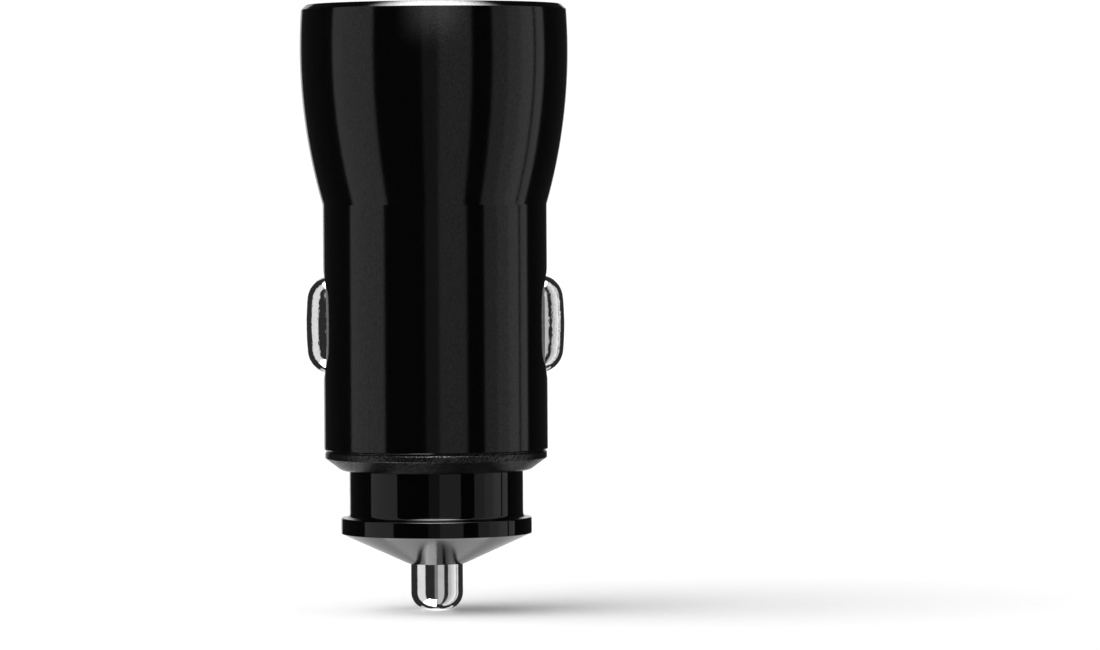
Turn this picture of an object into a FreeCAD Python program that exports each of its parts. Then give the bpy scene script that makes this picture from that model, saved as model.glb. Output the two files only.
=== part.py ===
import FreeCAD, Part
import math
import os

# A two-port charger that plugs into a vehicle's 12 V socket, in millimetres.
# Z runs up the plug's axis, the origin lies where the head meets the plug.
# X passes through the side contacts.

V = FreeCAD.Vector
X_AXIS = V(1, 0, 0)
Z_AXIS = V(0, 0, 1)
ORIGIN = V(0, 0, 0)

# fits shared by every pair of pieces
SLIDE_CLEARANCE = 0.10      # radial, a sliding piece in its guide
SEAT_CLEARANCE = 0.05       # radial, a fixed piece in its seat
ROOM = 0.20                 # free air between neighbours that must not touch
OVERSHOOT = 1.0             # how far a cutting body runs past the face that it opens

# USB-A receptacle, standard sizes
USB_WIDTH = 13.1            # outside of the folded shell
USB_HEIGHT = 5.7
USB_DEPTH = 13.0
USB_SHEET = 0.3
USB_CORNER = 0.6            # outside corner of the fold
USB_CENTRE_ABOVE_BOARD = 3.6
USB_LEG_WIDTH = 2.4
USB_LEG_DROP = 8.0          # mouth of the receptacle to the middle of its legs
TONGUE_WIDTH = 11.1
TONGUE_THICKNESS = 1.84
TONGUE_OFFSET = 0.98        # tongue's middle plane from the receptacle's middle plane
TONGUE_SETBACK = 1.9        # mouth of the receptacle to the tongue's front edge
TONGUE_BLOCK = 2.6          # depth of the block that closes the receptacle's back
PIN_OUTER_X = 3.5           # outer pair of contact strips
PIN_INNER_X = 1.0           # inner pair
PIN_WIDTH = 1.0
PIN_THICKNESS = 0.25
PIN_SETBACK = 0.9           # tongue's front edge to the strips' front ends
PIN_FOOT = 1.2              # solder foot along the board

# circuit board
BOARD_THICKNESS = 1.2
BOARD_TOP_DROP = 3.2        # mouth of the receptacles to the board's top edge

# head of the shell, built outwards from the receptacles
HEAD_BORE_ROOM = 0.85       # receptacle corner to the head's bore
FACE_LEDGE = 0.95           # ledge that carries the face plate
RIM_LAND = 0.38             # flat of the rim outside the face plate
RIM_CHAMFER = 0.5
HEAD_LENGTH = 18.55         # seating plane to the rim
HEAD_WIDEST = 14.4          # seating plane to the head's widest circle
FACE_THICKNESS = 1.4
FACE_RECESS = 0.15          # rim to the face plate's outer face
FACE_MOUTH_BREAK = 0.25     # chamfer around each opening of the face plate
SKIRT_DEPTH = 2.0           # ring under the face plate that centres it in the bore
SKIRT_WALL = 0.5
MOUTH_RECESS = 0.2          # face plate's outer face to the receptacles' mouths

# plug
PLUG_DIAMETER = 20.8        # plug of a vehicle's 12 V socket
PLUG_LENGTH = 22.75         # seating plane to the shell's lower edge
PLUG_WALL = 1.0
SHELL_EDGE_BREAK = 0.12
HEAD_FLOOR = 4.0            # seating plane up to the floor of the head's bore
HEAD_FLOOR_CONE = 1.0       # height of the cone between the two bores

# side contacts
CONTACT_DROP = 11.1         # seating plane to the middle of each contact
CONTACT_LENGTH = 9.15
CONTACT_WIDTH = 4.2
CONTACT_PROUD = 1.58        # how far each contact stands out of the plug
CONTACT_TRAVEL = 1.58       # pressed until flush with the plug
CONTACT_CORNER = 2.3        # corner of the contact seen from the side
CONTACT_CROWN = 27.0        # radius of its slightly bowed face
CONTACT_ROUND = 2.0         # rounding across its width
CONTACT_SHEET = 0.5
SLOT_SIDE_ROOM = 0.25       # contact to slot, each side
SLOT_END_ROOM = 0.5         # contact to slot, each end
FLANGE_LAP = 0.5            # flange beyond the slot all round
FLANGE_THICKNESS = 1.0
POCKET_ROOM = 0.15          # flange to pocket all round
POCKET_MARGIN = 0.35        # pocket depth left under a fully pressed contact
POCKET_WALL = 0.8
POCKET_FLOOR = 1.0
LEAF_WIDTH = 2.2
LEAF_SHEET = 0.25
LEAF_SPAN = 6.4             # foot to foot
STRAP_SHEET = 0.25
STRAP_LENGTH = 8.4
STRAP_WIDTH = 2.6
STRAP_STUB_D = 0.9          # stub through the pocket floor to the board

# carrier
CARRIER_WALL = 1.2
CARRIER_TOP_DROP = 1.0      # seating plane to the carrier's top end
GROOVE_DEPTH = 0.6          # groove that guides the board's edge
GROOVE_FLOOR_RISE = 0.4     # pocket housing up to the groove's floor
RING_DIAMETER = 20.6
RING_HEIGHT = 1.90
RING_REVEAL = 0.12          # shadow gap under the shell
RING_REVEAL_DEPTH = 0.3
RING_TOP_ROUND = 0.15
RING_BEVEL = 1.58           # width of the sloping underside
RING_BEVEL_HEIGHT = 1.17
RING_UNDER_ROUND = 1.1
BULKHEAD = 1.2

# nose
NECK_DIAMETER = 16.14
NECK_LENGTH = 4.36
NECK_FOOT_ROUND = 0.4
NOSE_FLANGE_DIAMETER = 17.72
NOSE_FLANGE_HEIGHT = 1.48
NOSE_EDGE_ROUND = 0.15
CONE_HEIGHT = 2.83
CONE_END_LAND = 0.12        # flat ring around the tip at the cone's end
SPIGOT_DIAMETER = 14.4
SPIGOT_LENGTH = 2.8
NOSE_WALL = 1.6
GUIDE_WALL = 0.9            # inner tube around the spring
GUIDE_FLOOR = 1.5           # shoulder that retains the tip
CORE_FLOOR = 1.2            # material left above the flange's underside

# tip
TIP_DIAMETER = 4.84
TIP_TRAVEL = 2.5
TIP_LEFT_OUT = 1.92         # still out of the cone when fully pressed
TIP_END_ROUND = 1.75
TIP_COLLAR_LAP = 0.9        # collar beyond the pin
TIP_COLLAR_HEIGHT = 1.0
TIP_PEG_DIAMETER = 4.0
TIP_PEG_HEIGHT = 1.1
SPRING_WIRE = 0.5
SPRING_TURNS = 5
WIRE_SIDES = 8
TERMINAL_HEAD = 0.4
TERMINAL_SHANK_D = 1.8
TERMINAL_STUB = 0.8         # shank above the bulkhead, up to the board

# components on the board: width along X, height along Z, thickness away from the board
INDUCTOR_SIZE = 7.0
INDUCTOR_THICKNESS = 4.0
INDUCTOR_CORNER = 1.0
CAN_HEIGHT = 5.0
INPUT_CAN_D = 5.0
OUTPUT_CAN_D = 6.3
CAN_ROUND = 0.4
CHIP_WIDTH = 3.9
CHIP_HEIGHT = 4.9
CHIP_THICKNESS = 1.5
CHIP_STANDOFF = 0.1
CHIP_PITCH = 1.27
LEADS_PER_EDGE = 4
LEAD_WIDTH = 0.4
LEAD_SHEET = 0.2
LEAD_REACH = 1.05
LEAD_RISE = 0.8
DIODE_WIDTH = 4.3
DIODE_HEIGHT = 2.6
DIODE_THICKNESS = 2.2
FUSE_WIDTH = 3.2
FUSE_HEIGHT = 1.6
FUSE_THICKNESS = 0.8
RESISTOR_WIDTH = 1.6
RESISTOR_HEIGHT = 0.8
RESISTOR_THICKNESS = 0.45
RESISTOR_PITCH = 1.5
RESISTOR_COLUMN_X = 3.0
RESISTOR_ROWS = 3

# worked out from the sizes above
plug_r = PLUG_DIAMETER / 2
bore_r = plug_r - PLUG_WALL
board_y = BOARD_THICKNESS / 2
usb_y = board_y + USB_CENTRE_ABOVE_BOARD
usb_corner_r = math.hypot(USB_WIDTH / 2, usb_y + USB_HEIGHT / 2)
head_bore_r = usb_corner_r + HEAD_BORE_ROOM
face_seat_r = head_bore_r + FACE_LEDGE
rim_top_r = face_seat_r + RIM_LAND
rim_r = rim_top_r + RIM_CHAMFER
rim_z = HEAD_LENGTH - RIM_CHAMFER
face_z = HEAD_LENGTH - FACE_RECESS
ledge_z = face_z - FACE_THICKNESS
mouth_z = face_z - MOUTH_RECESS
usb_back_z = mouth_z - USB_DEPTH
board_top_z = mouth_z - BOARD_TOP_DROP

contact_face_x = plug_r + CONTACT_PROUD
flange_r = bore_r - SLIDE_CLEARANCE
flange_back_x = flange_r - FLANGE_THICKNESS
slot_length = CONTACT_LENGTH + 2 * SLOT_END_ROOM
slot_width = CONTACT_WIDTH + 2 * SLOT_SIDE_ROOM
flange_length = slot_length + 2 * FLANGE_LAP
flange_width = slot_width + 2 * FLANGE_LAP
pocket_length = flange_length + 2 * POCKET_ROOM
pocket_width = flange_width + 2 * POCKET_ROOM
strap_face_x = flange_back_x - CONTACT_TRAVEL - POCKET_MARGIN
pocket_floor_x = strap_face_x - STRAP_SHEET
pocket_back_x = pocket_floor_x - POCKET_FLOOR
groove_floor_z = -CONTACT_DROP + pocket_length / 2 + POCKET_WALL + GROOVE_FLOOR_RISE

carrier_r = bore_r - SEAT_CLEARANCE
carrier_bore_r = carrier_r - CARRIER_WALL
ring_r = RING_DIAMETER / 2
ring_bottom_z = -PLUG_LENGTH - RING_HEIGHT
spigot_r = SPIGOT_DIAMETER / 2
spigot_top_z = ring_bottom_z + SPIGOT_LENGTH
bulkhead_top_z = spigot_top_z + BULKHEAD
board_bottom_z = bulkhead_top_z + TERMINAL_STUB
board_narrow_x = pocket_back_x - ROOM
board_wide_x = carrier_bore_r + GROOVE_DEPTH - SLIDE_CLEARANCE
pin_tail_z = usb_back_z - ROOM - PIN_THICKNESS
pin_foot_end_z = pin_tail_z - PIN_FOOT
resistors_height = (RESISTOR_ROWS - 1) * RESISTOR_PITCH + RESISTOR_HEIGHT

neck_r = NECK_DIAMETER / 2
nose_flange_r = NOSE_FLANGE_DIAMETER / 2
flange_top_z = ring_bottom_z - NECK_LENGTH
flange_bottom_z = flange_top_z - NOSE_FLANGE_HEIGHT
cone_end_z = flange_bottom_z - CONE_HEIGHT
tip_r = TIP_DIAMETER / 2
guide_r = tip_r + SLIDE_CLEARANCE
collar_r = tip_r + TIP_COLLAR_LAP
spring_bore_r = collar_r + SLIDE_CLEARANCE
shoulder_z = cone_end_z + GUIDE_FLOOR
collar_top_z = shoulder_z + TIP_COLLAR_HEIGHT
tip_end_z = cone_end_z - TIP_TRAVEL - TIP_LEFT_OUT
terminal_face_z = spigot_top_z - TERMINAL_HEAD
spring_mean_r = collar_r - SPRING_WIRE


def line(a, b):
    return Part.LineSegment(a, b).toShape()


def arc(a, through, b):
    return Part.Arc(a, through, b).toShape()


def on_profile(r, z):
    """Point of a turned profile, radius and height."""
    return V(r, 0, z)


def turned(edges):
    """Solid of revolution about Z from the edges of a closed profile."""
    face = Part.Face(Part.Wire(edges))
    return face.revolve(ORIGIN, Z_AXIS, 360)


def polyline(points):
    """Edges that join the points in turn, open at the end."""
    return [line(points[i], points[i + 1]) for i in range(len(points) - 1)]


def corner_round(before, corner, after, radius):
    """Where an arc of this radius leaves the first side, its middle, and where it meets the second side."""
    to_before = (before - corner).normalize()
    to_after = (after - corner).normalize()
    half = to_before.getAngle(to_after) / 2
    reach = radius / math.tan(half)
    middle = (to_before + to_after).normalize()
    return (
        corner + to_before * reach,
        corner + middle * (radius / math.sin(half) - radius),
        corner + to_after * reach,
    )


def rounded_profile(corners):
    """Closed edges through (point, radius) corners, with an arc wherever the radius is above zero."""
    count = len(corners)
    cuts = []
    for i, (corner, radius) in enumerate(corners):
        if radius > 0:
            before = corners[i - 1][0]
            after = corners[(i + 1) % count][0]
            cuts.append(corner_round(before, corner, after, radius))
        else:
            cuts.append((corner, None, corner))
    edges = []
    for i, (start, middle, end) in enumerate(cuts):
        if middle is not None:
            edges.append(arc(start, middle, end))
        following = cuts[(i + 1) % count][0]
        if end.distanceToPoint(following) > 1e-6:
            edges.append(line(end, following))
    return edges


def box(x0, x1, y0, y1, z0, z1):
    return Part.makeBox(x1 - x0, y1 - y0, z1 - z0, V(x0, y0, z0))


def rounded_tube(width, height, corner, z0, z1, centre_y):
    """Prism along Z with a rounded rectangle as its section."""
    x, y = width / 2, height / 2
    section = [(V(-x, centre_y - y, z0), corner), (V(x, centre_y - y, z0), corner),
               (V(x, centre_y + y, z0), corner), (V(-x, centre_y + y, z0), corner)]
    return Part.Face(Part.Wire(rounded_profile(section))).extrude(V(0, 0, z1 - z0))


def stadium(length, width, x0, x1):
    """Prism along X with a slot-shaped section, long in Z, at the contacts' height."""
    straight, r = (length - width) / 2, width / 2
    z_up, z_down = -CONTACT_DROP + straight, -CONTACT_DROP - straight
    edges = [
        line(V(x0, -r, z_down), V(x0, -r, z_up)),
        arc(V(x0, -r, z_up), V(x0, 0, z_up + r), V(x0, r, z_up)),
        line(V(x0, r, z_up), V(x0, r, z_down)),
        arc(V(x0, r, z_down), V(x0, 0, z_down - r), V(x0, -r, z_down)),
    ]
    return Part.Face(Part.Wire(edges)).extrude(V(x1 - x0, 0, 0))


def half_turned(shape):
    """Copy turned half a turn about the plug's axis."""
    copy = shape.copy()
    copy.rotate(ORIGIN, Z_AXIS, 180)
    return copy


def make_shell():
    """Turned sleeve: flared head above the seating plane, straight plug below, two slots for the contacts."""
    flare_centre = (rim_r ** 2 + (rim_z - HEAD_WIDEST) ** 2 - plug_r ** 2 - HEAD_WIDEST ** 2)
    flare_centre /= 2 * (rim_r - plug_r)
    flare_r = math.hypot(plug_r - flare_centre, HEAD_WIDEST)
    widest = on_profile(flare_centre + flare_r, HEAD_WIDEST)
    crease = on_profile(plug_r, 0)
    rim = on_profile(rim_r, rim_z)
    lower = -PLUG_LENGTH
    inside = [
        rim,
        on_profile(rim_top_r, HEAD_LENGTH),
        on_profile(face_seat_r, HEAD_LENGTH),
        on_profile(face_seat_r, ledge_z),
        on_profile(head_bore_r, ledge_z),
        on_profile(head_bore_r, HEAD_FLOOR),
        on_profile(bore_r, HEAD_FLOOR - HEAD_FLOOR_CONE),
        on_profile(bore_r, lower),
        on_profile(plug_r - SHELL_EDGE_BREAK, lower),
        on_profile(plug_r, lower + SHELL_EDGE_BREAK),
        crease,
    ]
    body = turned([arc(crease, widest, rim)] + polyline(inside))
    slot = stadium(slot_length, slot_width, 0, plug_r + OVERSHOOT)
    return body.cut(slot).cut(half_turned(slot))


def make_face_plate():
    """Disc on the head's ledge with an opening around each receptacle and a centring skirt below."""
    plate_r = face_seat_r - SEAT_CLEARANCE
    skirt_r = head_bore_r - SEAT_CLEARANCE
    skirt_z = ledge_z - SKIRT_DEPTH
    plate = turned(rounded_profile([
        (on_profile(0, ledge_z), 0),
        (on_profile(skirt_r - SKIRT_WALL, ledge_z), 0),
        (on_profile(skirt_r - SKIRT_WALL, skirt_z), 0),
        (on_profile(skirt_r, skirt_z), 0),
        (on_profile(skirt_r, ledge_z), 0),
        (on_profile(plate_r, ledge_z), 0),
        (on_profile(plate_r, face_z), 0),
        (on_profile(0, face_z), 0),
    ]))
    room = 2 * SEAT_CLEARANCE
    for centre_y in (-usb_y, usb_y):
        opening = rounded_tube(USB_WIDTH + room, USB_HEIGHT + room, USB_CORNER + SEAT_CLEARANCE,
                               skirt_z - OVERSHOOT, face_z + OVERSHOOT, centre_y)
        plate = plate.cut(opening)
    rims = [edge for edge in plate.Edges if edge.BoundBox.ZMin > face_z - SEAT_CLEARANCE
            and edge.BoundBox.DiagonalLength < USB_WIDTH]
    return plate.makeChamfer(FACE_MOUTH_BREAK, rims)


def make_carrier():
    """Inner sleeve with two contact pockets, board grooves, a bulkhead and the ring below the shell."""
    top = -CARRIER_TOP_DROP
    lower = -PLUG_LENGTH
    bevel_r = ring_r - RING_BEVEL
    sleeve = turned(rounded_profile([
        (on_profile(carrier_bore_r, top), 0),
        (on_profile(carrier_bore_r, bulkhead_top_z), 0),
        (on_profile(0, bulkhead_top_z), 0),
        (on_profile(0, spigot_top_z), 0),
        (on_profile(spigot_r + SEAT_CLEARANCE, spigot_top_z), 0),
        (on_profile(spigot_r + SEAT_CLEARANCE, ring_bottom_z), 0),
        (on_profile(bevel_r, ring_bottom_z), RING_UNDER_ROUND),
        (on_profile(ring_r, ring_bottom_z + RING_BEVEL_HEIGHT), RING_TOP_ROUND),
        (on_profile(ring_r, lower - RING_REVEAL), RING_TOP_ROUND),
        (on_profile(ring_r - RING_REVEAL_DEPTH, lower - RING_REVEAL), 0),
        (on_profile(ring_r - RING_REVEAL_DEPTH, lower), 0),
        (on_profile(carrier_r, lower), 0),
        (on_profile(carrier_r, top), 0),
    ]))
    mid_wall = Part.makeCylinder(carrier_r - CARRIER_WALL / 2, top - lower, V(0, 0, lower))
    housing = stadium(pocket_length + 2 * POCKET_WALL, pocket_width + 2 * POCKET_WALL, pocket_back_x, plug_r)
    pocket = stadium(pocket_length, pocket_width, pocket_floor_x, plug_r + OVERSHOOT)
    stub_r = STRAP_STUB_D / 2
    stub_hole = Part.makeCylinder(stub_r, plug_r, V(0, 0, -CONTACT_DROP), X_AXIS)
    groove = box(0, carrier_bore_r + GROOVE_DEPTH, -board_y - SLIDE_CLEARANCE, board_y + SLIDE_CLEARANCE,
                 groove_floor_z, top + OVERSHOOT)
    for side in (lambda shape: shape, half_turned):
        sleeve = sleeve.fuse(side(housing.common(mid_wall)))
        sleeve = sleeve.cut(side(pocket)).cut(side(stub_hole)).cut(side(groove))
    shank_r = TERMINAL_SHANK_D / 2
    shank_hole = Part.makeCylinder(shank_r, BULKHEAD + 2 * OVERSHOOT, V(0, 0, spigot_top_z - OVERSHOOT))
    return sleeve.cut(shank_hole).removeSplitter()


def make_nose():
    """Neck, flange and cone in one moulding, cored out around the tube that guides the tip and its spring."""
    tube_r = spring_bore_r + GUIDE_WALL
    core_r = spigot_r - NOSE_WALL
    core_z = flange_bottom_z + CORE_FLOOR
    return turned(rounded_profile([
        (on_profile(guide_r, cone_end_z), 0),
        (on_profile(guide_r + CONE_END_LAND, cone_end_z), 0),
        (on_profile(nose_flange_r, flange_bottom_z), NOSE_EDGE_ROUND),
        (on_profile(nose_flange_r, flange_top_z), NOSE_EDGE_ROUND),
        (on_profile(neck_r, flange_top_z), NECK_FOOT_ROUND),
        (on_profile(neck_r, ring_bottom_z), 0),
        (on_profile(spigot_r, ring_bottom_z), 0),
        (on_profile(spigot_r, spigot_top_z), 0),
        (on_profile(core_r, spigot_top_z), 0),
        (on_profile(core_r, core_z), 0),
        (on_profile(tube_r, core_z), 0),
        (on_profile(tube_r, spigot_top_z), 0),
        (on_profile(spring_bore_r, spigot_top_z), 0),
        (on_profile(spring_bore_r, shoulder_z), 0),
        (on_profile(guide_r, shoulder_z), 0),
    ]))


def make_tip_contact():
    """Pin with a rounded end, a collar on the nose's shoulder and a peg that centres the spring."""
    peg_r = TIP_PEG_DIAMETER / 2
    peg_top = collar_top_z + TIP_PEG_HEIGHT
    return turned(rounded_profile([
        (on_profile(0, tip_end_z), 0),
        (on_profile(tip_r, tip_end_z), TIP_END_ROUND),
        (on_profile(tip_r, shoulder_z), 0),
        (on_profile(collar_r, shoulder_z), 0),
        (on_profile(collar_r, collar_top_z), 0),
        (on_profile(peg_r, collar_top_z), 0),
        (on_profile(peg_r, peg_top), 0),
        (on_profile(0, peg_top), 0),
    ]))


def make_tip_spring():
    """Coil between the tip's collar and the terminal's head, its wire an eight-sided bar."""
    flat = SPRING_WIRE / 2
    low_z = collar_top_z + flat
    rise = terminal_face_z - flat - low_z
    helix = Part.makeHelix(rise / SPRING_TURNS, rise, spring_mean_r)
    helix.translate(V(0, 0, low_z))
    half_side = math.pi / WIRE_SIDES
    corner_r = flat / math.cos(half_side)
    corners = []
    for side in range(WIRE_SIDES):
        angle = (2 * side + 1) * half_side
        corners.append(V(spring_mean_r + corner_r * math.cos(angle), 0, low_z + corner_r * math.sin(angle)))
    section = Part.makePolygon(corners + corners[:1])
    return Part.Wire(helix.Edges).makePipeShell([section], True, True)


def make_tip_terminal():
    """Rivet: a head that takes the spring and a shank through the bulkhead up to the board."""
    head = Part.makeCylinder(collar_r, TERMINAL_HEAD, V(0, 0, terminal_face_z))
    shank = Part.makeCylinder(TERMINAL_SHANK_D / 2, board_bottom_z - spigot_top_z, V(0, 0, spigot_top_z))
    return head.fuse(shank).removeSplitter()


def contact_dome(inset):
    """Full-round bar with a bowed face and rounded corners, every face moved inwards by the inset."""
    face_x = contact_face_x - inset
    half = CONTACT_LENGTH / 2 - inset
    corner = CONTACT_CORNER - inset
    crown = CONTACT_CROWN - inset
    width = CONTACT_WIDTH - 2 * inset
    lift = half - corner
    crown_x = face_x - crown
    corner_x = crown_x + math.sqrt((crown - corner) ** 2 - lift ** 2)
    lean = math.atan2(lift, corner_x - crown_x)
    middle = (lean + math.pi / 2) / 2

    def at(x, z):
        return V(x, -width / 2, z - CONTACT_DROP)

    def corner_at(angle, sign):
        return at(corner_x + corner * math.cos(angle), sign * (lift + corner * math.sin(angle)))

    edges = [
        arc(corner_at(lean, -1), at(face_x, 0), corner_at(lean, 1)),
        arc(corner_at(lean, 1), corner_at(middle, 1), corner_at(math.pi / 2, 1)),
        line(corner_at(math.pi / 2, 1), at(flange_back_x, half)),
        line(at(flange_back_x, half), at(flange_back_x, -half)),
        line(at(flange_back_x, -half), corner_at(math.pi / 2, -1)),
        arc(corner_at(math.pi / 2, -1), corner_at(middle, -1), corner_at(lean, -1)),
    ]
    bar = Part.Face(Part.Wire(edges)).extrude(V(0, width, 0))
    rims = [edge for edge in bar.Edges if edge.Curve.TypeId == "Part::GeomCircle"]
    return bar.makeFillet(CONTACT_ROUND - inset, rims)


def make_side_contact():
    """Drawn hollow dome through the slot, with a flange behind the shell's wall that keeps it in."""
    flange = stadium(flange_length, flange_width, flange_back_x, plug_r)
    inside_bore = Part.makeCylinder(flange_r, PLUG_LENGTH, V(0, 0, -PLUG_LENGTH))
    hollow = contact_dome(CONTACT_SHEET)
    return contact_dome(0).fuse(flange.common(inside_bore)).cut(hollow).removeSplitter()


def make_contact_leaf():
    """Bowed strip from the strap to the inside of the dome."""
    round_in = CONTACT_ROUND - CONTACT_SHEET
    inner_flat = CONTACT_WIDTH / 2 - CONTACT_SHEET - round_in
    reach = LEAF_WIDTH / 2 - inner_flat
    dome_x = contact_face_x - CONTACT_SHEET - round_in + math.sqrt(round_in ** 2 - reach ** 2)
    crown_x = dome_x - SLIDE_CLEARANCE
    half = LEAF_SPAN / 2
    y = -LEAF_WIDTH / 2

    def bow(inset):
        return (V(strap_face_x, y, -CONTACT_DROP - half + inset),
                V(crown_x - inset, y, -CONTACT_DROP),
                V(strap_face_x, y, -CONTACT_DROP + half - inset))

    outer, inner = bow(0), bow(LEAF_SHEET)
    edges = [arc(*outer), line(outer[2], inner[2]), arc(*reversed(inner)), line(inner[0], outer[0])]
    return Part.Face(Part.Wire(edges)).extrude(V(0, LEAF_WIDTH, 0))


def make_ground_strap():
    """Strip on the pocket's floor with a stub through the floor to the board's edge."""
    strip = box(pocket_floor_x, strap_face_x, -STRAP_WIDTH / 2, STRAP_WIDTH / 2,
                -CONTACT_DROP - STRAP_LENGTH / 2, -CONTACT_DROP + STRAP_LENGTH / 2)
    stub = Part.makeCylinder(STRAP_STUB_D / 2, pocket_floor_x - board_narrow_x,
                             V(board_narrow_x, 0, -CONTACT_DROP), X_AXIS)
    return strip.fuse(stub).removeSplitter()


def make_main_board():
    """Flat board, wide in the head and between the carrier's grooves, narrow between the pockets."""
    wide = box(-board_wide_x, board_wide_x, -board_y, board_y, groove_floor_z, board_top_z)
    narrow = box(-board_narrow_x, board_narrow_x, -board_y, board_y, board_bottom_z, groove_floor_z)
    return wide.fuse(narrow).removeSplitter()


def make_usb_shell():
    """Folded tube of the rear receptacle, with a solder leg at each side."""
    outside = rounded_tube(USB_WIDTH, USB_HEIGHT, USB_CORNER, usb_back_z, mouth_z, usb_y)
    inside = rounded_tube(USB_WIDTH - 2 * USB_SHEET, USB_HEIGHT - 2 * USB_SHEET, USB_CORNER - USB_SHEET,
                          usb_back_z - OVERSHOOT, mouth_z + OVERSHOOT, usb_y)
    tube = outside
    leg_z = mouth_z - USB_LEG_DROP
    for side in (-1, 1):
        edge = side * USB_WIDTH / 2
        inner = side * (USB_WIDTH / 2 - USB_SHEET)
        leg = box(min(edge, inner), max(edge, inner), board_y, usb_y,
                  leg_z - USB_LEG_WIDTH / 2, leg_z + USB_LEG_WIDTH / 2)
        tube = tube.fuse(leg)
    return tube.cut(inside).removeSplitter()


def strip_face_y():
    """Plane of the tongue's face that carries the contact strips."""
    return usb_y + TONGUE_OFFSET - TONGUE_THICKNESS / 2


def make_usb_contacts():
    """Four strips down the tongue's face, through its block and over to the solder feet."""
    y = strip_face_y()
    front_z = mouth_z - TONGUE_SETBACK - PIN_SETBACK
    strips = []
    for x in (-PIN_OUTER_X, -PIN_INNER_X, PIN_INNER_X, PIN_OUTER_X):
        left, right = x - PIN_WIDTH / 2, x + PIN_WIDTH / 2
        strip = box(left, right, y - PIN_THICKNESS, y, pin_tail_z, front_z)
        tail = box(left, right, board_y, y, pin_tail_z, pin_tail_z + PIN_THICKNESS)
        foot = box(left, right, board_y, board_y + PIN_THICKNESS, pin_foot_end_z, pin_tail_z + PIN_THICKNESS)
        strips.append(strip.fuse([tail, foot]).removeSplitter())
    return Part.makeCompound(strips)


def make_usb_tongue():
    """Moulded tongue on a block that fills the back of the receptacle, grooved for the strips."""
    room = 2 * (USB_SHEET + SEAT_CLEARANCE)
    block = rounded_tube(USB_WIDTH - room, USB_HEIGHT - room, USB_CORNER - USB_SHEET,
                         usb_back_z, usb_back_z + TONGUE_BLOCK, usb_y)
    y = strip_face_y()
    tongue = box(-TONGUE_WIDTH / 2, TONGUE_WIDTH / 2, y, y + TONGUE_THICKNESS,
                 usb_back_z, mouth_z - TONGUE_SETBACK)
    return block.fuse(tongue).removeSplitter().cut(make_usb_contacts())


def spread_up_board(*heights):
    """Middles of components that share the free length below the receptacles' solder feet with equal gaps."""
    gap = (pin_foot_end_z - board_bottom_z - sum(heights)) / (len(heights) + 1)
    middles = []
    low = board_bottom_z
    for height in heights:
        middles.append(low + gap + height / 2)
        low += gap + height
    return middles


def on_board(side, width, thickness, z, height, x=0, standoff=0):
    """Box on the board's front (-1) or rear (+1) face."""
    near = side * (board_y + standoff)
    far = side * (board_y + standoff + thickness)
    return box(x - width / 2, x + width / 2, min(near, far), max(near, far), z - height / 2, z + height / 2)


def make_inductor(z):
    """Square shielded block with rounded corners."""
    block = on_board(1, INDUCTOR_SIZE, INDUCTOR_THICKNESS, z, INDUCTOR_SIZE)
    upright = [edge for edge in block.Edges if edge.BoundBox.YLength > INDUCTOR_THICKNESS / 2]
    return block.makeFillet(INDUCTOR_CORNER, upright)


def make_can(side, diameter, z):
    """Capacitor can standing on the board, rounded at its free end."""
    can = Part.makeCylinder(diameter / 2, CAN_HEIGHT, V(0, side * board_y, z), V(0, side, 0))
    end = [edge for edge in can.Edges if abs(edge.CenterOfMass.y) > CAN_HEIGHT]
    return can.makeFillet(CAN_ROUND, end)


def make_chip(side, z):
    return on_board(side, CHIP_WIDTH, CHIP_THICKNESS, z, CHIP_HEIGHT, standoff=CHIP_STANDOFF)


def make_leads(side, z):
    """Eight bent leads, four along each long edge of a chip."""
    leads = []
    first_z = z - (LEADS_PER_EDGE - 1) * CHIP_PITCH / 2
    for row in range(LEADS_PER_EDGE):
        lead_z = first_z + row * CHIP_PITCH
        for edge in (-1, 1):
            root = edge * CHIP_WIDTH / 2
            end = root + edge * LEAD_REACH
            bend = root + edge * LEAD_REACH / 2
            level = on_board(side, LEAD_REACH / 2, LEAD_SHEET, lead_z, LEAD_WIDTH,
                             (root + bend) / 2, LEAD_RISE)
            drop = on_board(side, LEAD_SHEET, LEAD_RISE + LEAD_SHEET, lead_z, LEAD_WIDTH,
                            bend - edge * LEAD_SHEET / 2)
            foot = on_board(side, LEAD_REACH / 2, LEAD_SHEET, lead_z, LEAD_WIDTH, (bend + end) / 2)
            leads.append(level.fuse([drop, foot]).removeSplitter())
    return Part.makeCompound(leads)


def make_resistors(z):
    """Six chip resistors in two columns above the converter's diode."""
    chips = []
    first_z = z - (RESISTOR_ROWS - 1) * RESISTOR_PITCH / 2
    for row in range(RESISTOR_ROWS):
        for side in (-1, 1):
            chips.append(on_board(-1, RESISTOR_WIDTH, RESISTOR_THICKNESS, first_z + row * RESISTOR_PITCH,
                                  RESISTOR_HEIGHT, side * RESISTOR_COLUMN_X))
    return Part.makeCompound(chips)


side_contact = make_side_contact()
contact_leaf = make_contact_leaf()
ground_strap = make_ground_strap()
usb_shell = make_usb_shell()
usb_tongue = make_usb_tongue()
usb_contacts = make_usb_contacts()
input_can_z, buck_z, diode_z, resistors_z = spread_up_board(
    INPUT_CAN_D, CHIP_HEIGHT, DIODE_HEIGHT, resistors_height)
fuse_z, inductor_z, output_can_z, charge_z = spread_up_board(
    FUSE_HEIGHT, INDUCTOR_SIZE, OUTPUT_CAN_D, CHIP_HEIGHT)

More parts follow.
